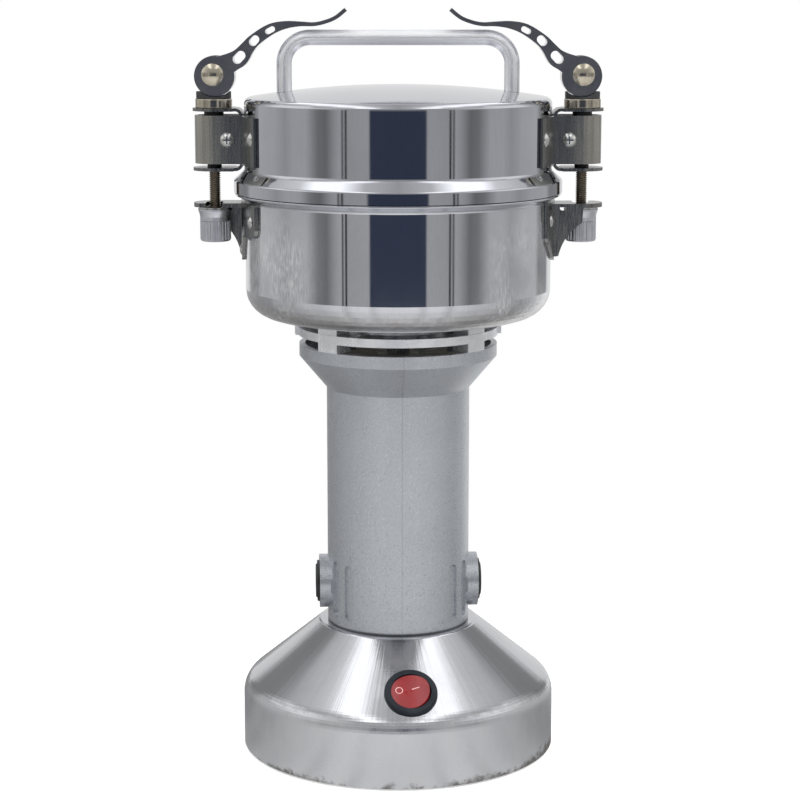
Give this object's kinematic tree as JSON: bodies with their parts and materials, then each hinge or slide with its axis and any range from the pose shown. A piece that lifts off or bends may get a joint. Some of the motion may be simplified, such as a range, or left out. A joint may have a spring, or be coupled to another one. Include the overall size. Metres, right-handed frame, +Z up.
{
  "type": "electric grinding mill",
  "caption": "Upright electric dry-grinding mill: round bowl with a lid held by cam latches, on a motor column with a cone base and rocker switch.",
  "frame": {"origin": "on the floor under the motor shaft, at the centre of the base", "axes": "+Z up along the motor shaft, -Y to the front where the switch is, +X to the right"},
  "size_m": [0.1738, 0.1394, 0.3201],
  "materials": {
    "polished_steel": "polished",
    "cast_aluminium": "satin",
    "raw_aluminium": "machined",
    "handle_metal": "satin",
    "dark_steel": "polished",
    "lever_metal": "anodised",
    "pin_metal": "polished",
    "steel": "bright",
    "blade_steel": "ground",
    "laminated_steel": "laminated",
    "copper": "enamelled",
    "brass": "plain",
    "black_plastic": "satin",
    "switch_black": "satin",
    "red_plastic": "translucent",
    "fan_plastic": "moulded",
    "carbon": "sintered",
    "black_rubber": "matte",
    "seal_rubber": "matte"
  },
  "bodies": {
    "base": {"base_shell": "polished_steel", "base_plate": "black_plastic", "base_feet": "black_rubber", "base_screws": "steel", "cord_gland": "black_rubber", "switch_body": "switch_black", "motor_housing": "cast_aluminium", "end_bracket": "raw_aluminium", "stator_core": "laminated_steel", "field_coils": "copper", "lower_bearing": "steel", "upper_bearing": "steel", "brush_holders": "brass", "carbon_brushes": "carbon", "brush_springs": "steel", "brush_cap_left": "black_plastic", "brush_cap_right": "black_plastic", "bowl": "polished_steel", "bowl_screws": "steel", "shaft_seal": "black_rubber", "catch_left": "dark_steel", "catch_right": "dark_steel", "catch_rivets": "steel"},
    "rocker": {"switch_rocker": "red_plastic"},
    "rotor": {"motor_shaft": "steel", "armature_core": "laminated_steel", "armature_windings": "copper", "commutator": "copper", "cooling_fan": "fan_plastic", "lower_blade": "blade_steel", "middle_blade": "blade_steel", "upper_blade": "blade_steel", "blade_spacers": "steel", "blade_nut": "steel"},
    "lid_turner": {"clamp_washers": "steel"},
    "nut_left": {"clamp_nut_left": "raw_aluminium"},
    "nut_right": {"clamp_nut_right": "raw_aluminium"},
    "lid": {"lid_shell": "polished_steel", "lid_seal": "seal_rubber", "lid_handle": "handle_metal", "handle_screws": "steel", "strap_left": "dark_steel", "strap_right": "dark_steel", "strap_rivets": "steel", "strap_screws": "steel", "latch_bracket_left": "dark_steel", "latch_bracket_right": "dark_steel", "rod_guide_left": "black_plastic", "rod_guide_right": "black_plastic", "clamp_rod_left": "steel", "clamp_rod_right": "steel", "thrust_rings": "steel", "saddle_left": "black_plastic", "saddle_right": "black_plastic", "pin_left": "pin_metal", "pin_right": "pin_metal"},
    "lever_left": {"lever_left": "lever_metal"},
    "lever_right": {"lever_right": "lever_metal"}
  },
  "joints": [
    {"name": "rocker_tip", "type": "hinge", "parent": "base", "child": "rocker", "pos_m": [0.00534, -0.05542, 0.03834], "axis": [-0.0745, 0.7732, 0.6297], "range_deg": [0, 16]},
    {"name": "rotor_spin", "type": "hinge", "parent": "base", "child": "rotor", "pos_m": [0, 0, 0.12], "axis": [0, 0, 1], "continuous": true},
    {"name": "lid_turn", "type": "hinge", "parent": "base", "child": "lid_turner", "pos_m": [0, 0, 0.24], "axis": [0, 0, 1], "range_deg": [0, 20]},
    {"name": "nut_left_spin", "type": "hinge", "parent": "lid_turner", "child": "nut_left", "pos_m": [-0.0779, 0, 0.229], "axis": [0, 0, 1], "continuous": true},
    {"name": "nut_right_spin", "type": "hinge", "parent": "lid_turner", "child": "nut_right", "pos_m": [0.0779, 0, 0.229], "axis": [0, 0, 1], "continuous": true},
    {"name": "lid_lift", "type": "slide", "parent": "lid_turner", "child": "lid", "axis": [0, 0, 1], "range_m": [0, 0.1]},
    {"name": "lever_left_swing", "type": "hinge", "parent": "lid", "child": "lever_left", "pos_m": [-0.0779, 0, 0.29253], "axis": [0, -1, 0], "range_deg": [0, 162]},
    {"name": "lever_right_swing", "type": "hinge", "parent": "lid", "child": "lever_right", "pos_m": [0.0779, 0, 0.29253], "axis": [0, 1, 0], "range_deg": [0, 162]}
  ]
}
